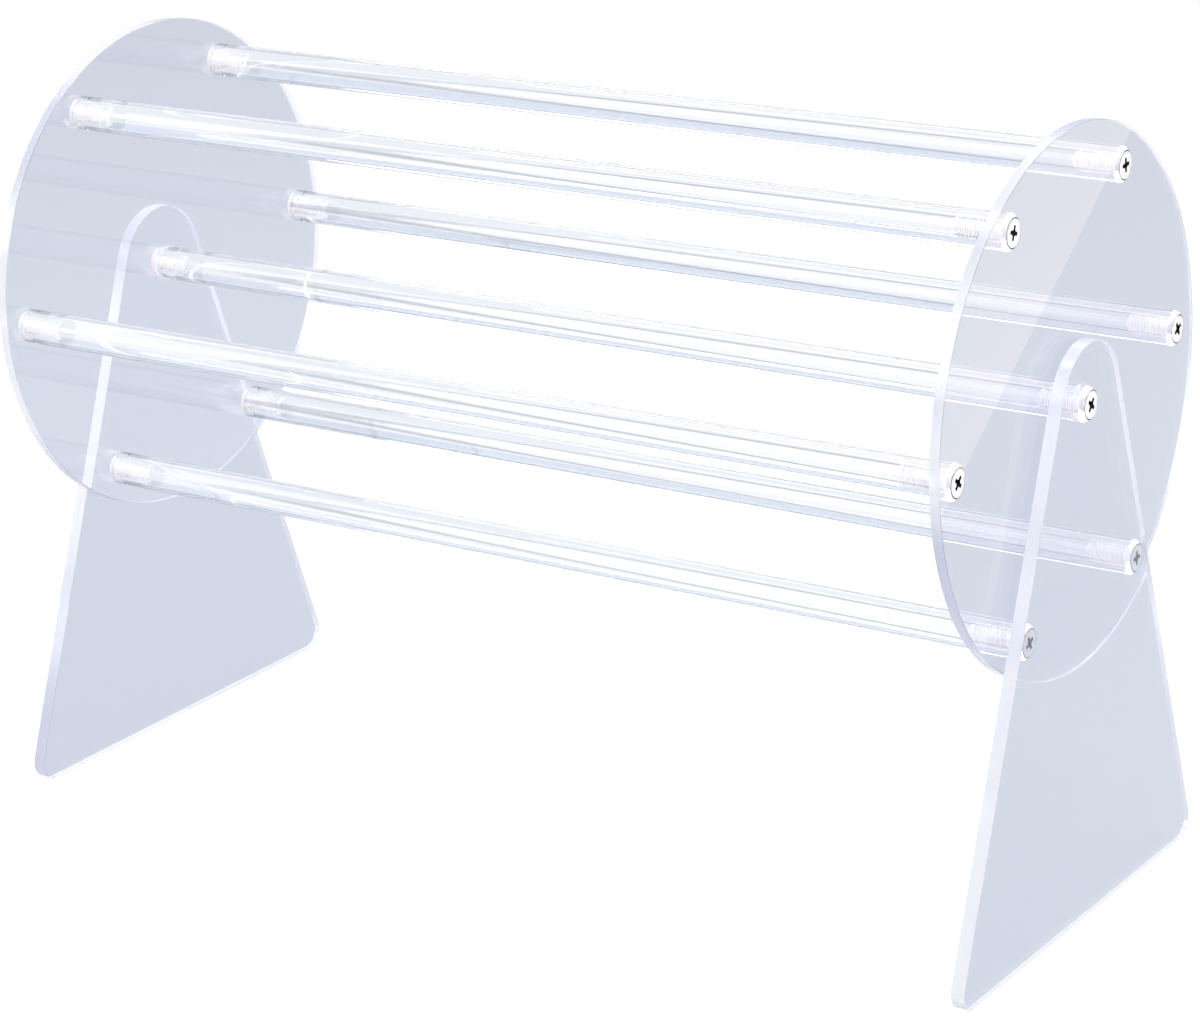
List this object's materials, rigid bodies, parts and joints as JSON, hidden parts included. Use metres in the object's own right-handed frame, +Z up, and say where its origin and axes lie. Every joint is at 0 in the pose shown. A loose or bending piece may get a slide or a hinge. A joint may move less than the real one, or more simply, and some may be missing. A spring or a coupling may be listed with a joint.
{
  "type": "hair tie holder",
  "caption": "Clear rotating drum of two round end discs and long rods, turning on an axle rod between two tapered stands, to hold hair ties.",
  "frame": {"origin": "on the table, under the middle of the drum, halfway between the stands", "axes": "+X along the axle rod, from the left stand to the right one; +Z up; -Y towards the front of the drum"},
  "size_m": [0.3214, 0.15, 0.224],
  "materials": {
    "clear_sheet": "clear polished acrylic sheet",
    "clear_rod": "clear polished acrylic rod",
    "screw_steel": "bright nickel-plated steel"
  },
  "bodies": {
    "stand_frame": {"left_stand": "clear_sheet", "right_stand": "clear_sheet", "axle_rod": "clear_rod", "left_axle_screw": "screw_steel", "right_axle_screw": "screw_steel"},
    "drum": {"left_disc": "clear_sheet", "right_disc": "clear_sheet", "ring_rod_1": "clear_rod", "ring_rod_2": "clear_rod", "ring_rod_3": "clear_rod", "ring_rod_4": "clear_rod", "ring_rod_5": "clear_rod", "ring_rod_6": "clear_rod", "left_ring_screw_1": "screw_steel", "left_ring_screw_2": "screw_steel", "left_ring_screw_3": "screw_steel", "left_ring_screw_4": "screw_steel", "left_ring_screw_5": "screw_steel", "left_ring_screw_6": "screw_steel", "right_ring_screw_1": "screw_steel", "right_ring_screw_2": "screw_steel", "right_ring_screw_3": "screw_steel", "right_ring_screw_4": "screw_steel", "right_ring_screw_5": "screw_steel", "right_ring_screw_6": "screw_steel"}
  },
  "joints": [
    {"name": "drum_spin", "type": "hinge", "parent": "stand_frame", "child": "drum", "pos_m": [0, 0, 0.149], "axis": [1, 0, 0], "continuous": true}
  ]
}
